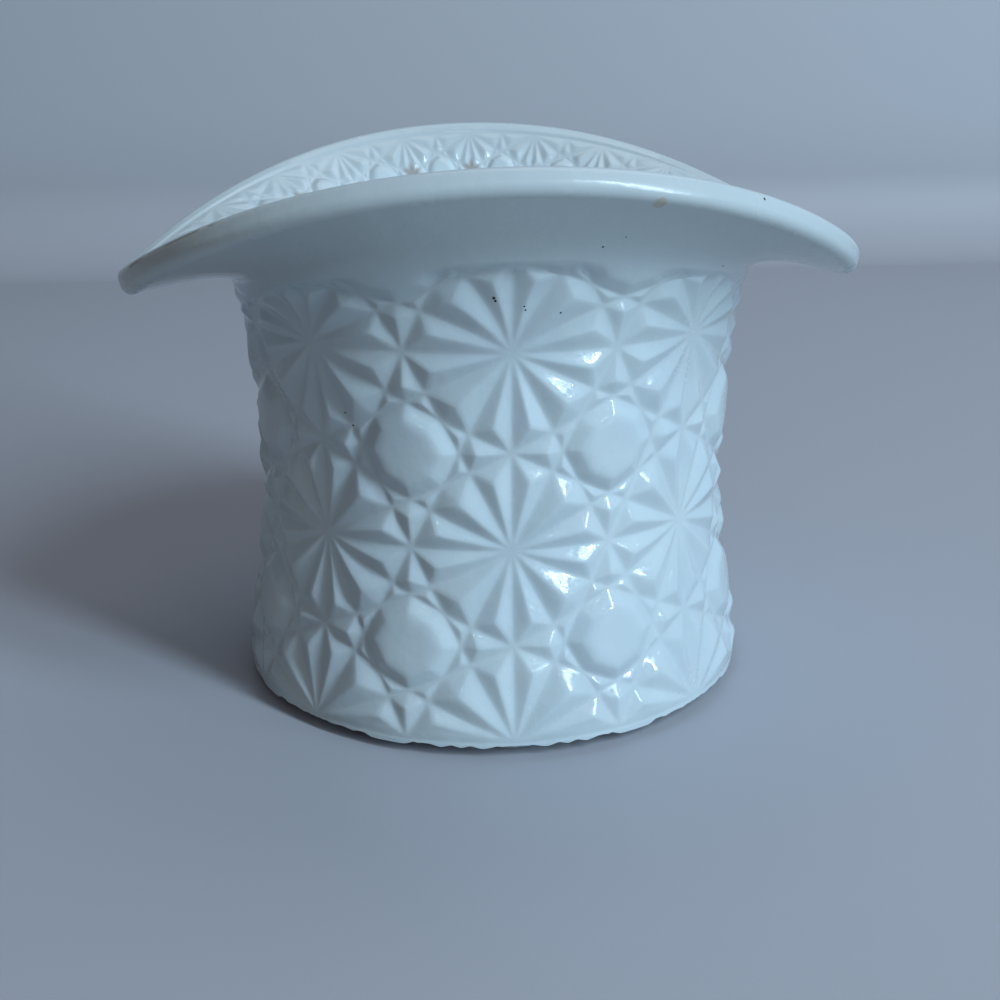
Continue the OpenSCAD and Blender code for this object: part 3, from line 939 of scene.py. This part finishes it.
def glass_material(name, grime, wave_mm, bloom=0.0, streak=0.0):
    """White glass whose colour, roughness and waviness come from the pressed surface group."""
    material = bpy.data.materials.new(name)
    material.use_nodes = True
    tree = material.node_tree
    shader = tree.nodes["Principled BSDF"]
    shader.inputs["IOR"].default_value = glass_index
    group = tree.nodes.new("ShaderNodeGroup")
    group.node_tree = surface
    group.inputs["Grime"].default_value = grime
    group.inputs["Bloom"].default_value = bloom
    group.inputs["Streak"].default_value = streak
    depth = tree.nodes.new("ShaderNodeAttribute")
    depth.attribute_name = "groove"
    bump = tree.nodes.new("ShaderNodeBump")
    bump.inputs["Strength"].default_value = 1
    bump.inputs["Distance"].default_value = wave_mm * MM
    wire(tree, depth.outputs["Fac"], group.inputs["Groove"])
    aged = tree.nodes.new("ShaderNodeGroup")
    aged.node_tree = marks
    chipped = blend_colours(tree, aged.outputs["Chip"], group.outputs["Color"], chip_colour)
    specked = blend_colours(tree, aged.outputs["Speck"], chipped, speck_colour)
    wire(tree, specked, shader.inputs["Base Color"])
    wire(tree, group.outputs["Roughness"], shader.inputs["Roughness"])
    wire(tree, group.outputs["Height"], bump.inputs["Height"])
    wire(tree, bump.outputs["Normal"], shader.inputs["Normal"])
    return material


wall_glass = glass_material("wall_glass", grime=0.06, wave_mm=0.08, streak=0.17)
brim_glass = glass_material("brim_glass", grime=0.8, wave_mm=0.06, bloom=0.1)
base_glass = glass_material("base_glass", grime=0.4, wave_mm=0.06, bloom=0.1)
plain_glass = glass_material("plain_glass", grime=0.0, wave_mm=0.08, bloom=0.03)
rim_glass = glass_material("rim_glass", grime=0.9, wave_mm=0.07, bloom=0.2)
finishes = [
    (wall_glass, wall_relief), (brim_glass, brim_relief), (base_glass, base_relief), (rim_glass, rim_edge),
    *[(plain_glass, piece) for piece in (cup_floor, cup_wall, neck_turn, brim_plate)],
]
for material, piece in finishes:
    piece.data.materials.append(material)
print("finishes:", [f"{piece.name} in {material.name}" for material, piece in finishes])

# %% [markdown]
# ## Camera, table and light
# The photographer stood close and looked down a little, so the near rim is large and the pattern
# narrows downwards. The camera below was found by fitting that picture of the daisies. The hat
# stands on a plain pale sheet that curves up behind it. A tall narrow window on the right does most
# of the lighting, and a soft lamp above and behind the hat lights its brim. Small panes hardly add
# light, but they glint in the facets, and a dim warm room fills the shade on the left.

# %% Camera
focal_mm, sensor_mm, near_clip = 48.6, 36.0, 0.01
camera_place = np.array([-12.41, -162.91, 74.55]) * MM
yaw, pitch, roll = math.radians(4.74), math.radians(18.585), math.radians(-0.422)

camera_data = bpy.data.cameras.new("camera")
camera_data.lens, camera_data.sensor_width = focal_mm, sensor_mm
camera_data.clip_start = near_clip
camera = bpy.data.objects.new("camera", camera_data)
bpy.context.scene.collection.objects.link(camera)
bpy.context.scene.camera = camera
ahead = np.array([math.sin(yaw) * math.cos(pitch), math.cos(yaw) * math.cos(pitch), -math.sin(pitch)])
right = np.array([math.cos(yaw), -math.sin(yaw), 0])
up = np.cross(right, ahead)
right, up = right * math.cos(roll) + up * math.sin(roll), up * math.cos(roll) - right * math.sin(roll)
turned = np.column_stack([right, up, -ahead, camera_place])
camera.matrix_world = Matrix(np.vstack([turned, [0, 0, 0, 1]]).tolist())
print("camera", (camera_place / MM).round(1), "mm, looking", ahead.round(3))

# %% Table sheet
# Lengths in metres
sheet_back, sheet_bend, sheet_half, sheet_top = 0.30, 0.03, 1.6, 1.5
sheet_rough = 0.55


def shown(tree):
    """1 for the rays that show the background: from the camera, in a reflection or through glass."""
    rays = tree.nodes.new("ShaderNodeLightPath")
    seen = combine(tree, "MAXIMUM", rays.outputs["Is Camera Ray"], rays.outputs["Is Glossy Ray"])
    return combine(tree, "MAXIMUM", seen, rays.outputs["Is Transmission Ray"])


def sheet_profile(count):
    """Flat table, a quarter circle behind it, and an upright back."""
    bend = np.linspace(-math.pi / 2, 0, count)
    middle = np.array([sheet_back, sheet_bend])
    curve = middle + sheet_bend * pointing(bend)
    return np.concatenate([[[-sheet_half, 0]], curve, [[sheet_back + sheet_bend, sheet_top]]])


# The sheet sends less light back to the hat than the camera sees in it, as a smaller table would
table_colour, back_colour = (0.41, 0.426, 0.495), (0.48, 0.51, 0.585)
bounce_colour = (0.30, 0.305, 0.32)

profile = sheet_profile(24)
edges = [np.column_stack([np.full(len(profile), x), profile]) for x in (-sheet_half, sheet_half)]
sheet = np.stack(edges)
left_row = np.arange(len(profile))
right_row = left_row + len(profile)
quads = np.stack([left_row[:-1], right_row[:-1], right_row[1:], left_row[1:]], axis=1)
mesh = bpy.data.meshes.new("table_sheet")
mesh.from_pydata(sheet.reshape(-1, 3).tolist(), [], quads.tolist())
mesh.shade_smooth()
table_sheet = bpy.data.objects.new("table_sheet", mesh)
bpy.context.scene.collection.objects.link(table_sheet)
paint = bpy.data.materials.new("pale_sheet")
paint.use_nodes = True
paper = paint.node_tree.nodes["Principled BSDF"]
paper.inputs["Roughness"].default_value = sheet_rough
sheet_place = paint.node_tree.nodes.new("ShaderNodeTexCoord").outputs["Object"]
parts = paint.node_tree.nodes.new("ShaderNodeSeparateXYZ")
wire(paint.node_tree, sheet_place, parts.inputs["Vector"])
climb = ramp(paint.node_tree, parts.outputs["Z"], 0.0, 2 * sheet_bend)
seen = blend_colours(paint.node_tree, climb, table_colour, back_colour)
sheet_colour = blend_colours(paint.node_tree, shown(paint.node_tree), bounce_colour, seen)
wire(paint.node_tree, sheet_colour, paper.inputs["Base Color"])
mesh.materials.append(paint)
print("table sheet with", len(quads), "faces")

# %% Light
world = bpy.data.worlds.new("soft_room")
bpy.context.scene.world = world
world.use_nodes = True
# Warm light of the room on the hat, and the tone in which the room itself is seen
room_light, room_seen = (0.09, 0.061, 0.038), (0.2, 0.24, 0.28)
background = world.node_tree.nodes["Background"]
room_colour = blend_colours(world.node_tree, shown(world.node_tree), room_light, room_seen)
wire(world.node_tree, room_colour, background.inputs["Color"])
background.inputs["Strength"].default_value = 1
aim = Vector((0, 0, 0.03))


def area_lamp(name, azimuth, elevation, distance, size, watts, colour):
    """Lamp of that width and height that faces the hat; azimuth counts from the front to the right."""
    lamp = bpy.data.lights.new(name, "AREA")
    lamp.shape = "RECTANGLE"
    lamp.size, lamp.size_y = size
    lamp.energy, lamp.color = watts, colour
    holder = bpy.data.objects.new(name, lamp)
    bpy.context.scene.collection.objects.link(holder)
    a, e = math.radians(azimuth), math.radians(elevation)
    away = Vector((math.sin(a) * math.cos(e), -math.cos(a) * math.cos(e), math.sin(e)))
    holder.location = aim + away * distance
    holder.rotation_euler = away.to_track_quat("Z", "Y").to_euler()


area_lamp("window", azimuth=45, elevation=33, distance=1.2, size=(0.15, 1.1), watts=13.8,
          colour=(0.68, 0.88, 1.0))
area_lamp("ceiling", azimuth=150, elevation=65, distance=0.7, size=(0.5, 0.5), watts=0.85,
          colour=(0.95, 0.96, 1.0))
# Small panes that hardly light the glass but glint in its facets, as azimuth and elevation
panes = [(azimuth, elevation) for azimuth in (-14, 6, 26, 66) for elevation in (20, 31, 42, 53)]
for azimuth, elevation in panes:
    area_lamp(f"pane_{azimuth}_{elevation}", azimuth, elevation, distance=0.7, size=(0.022, 0.035),
              watts=0.035, colour=(0.78, 0.91, 1.0))
bpy.context.scene.view_settings.view_transform = "Standard"
print("a window, a ceiling,", len(panes), "small panes and a soft room")
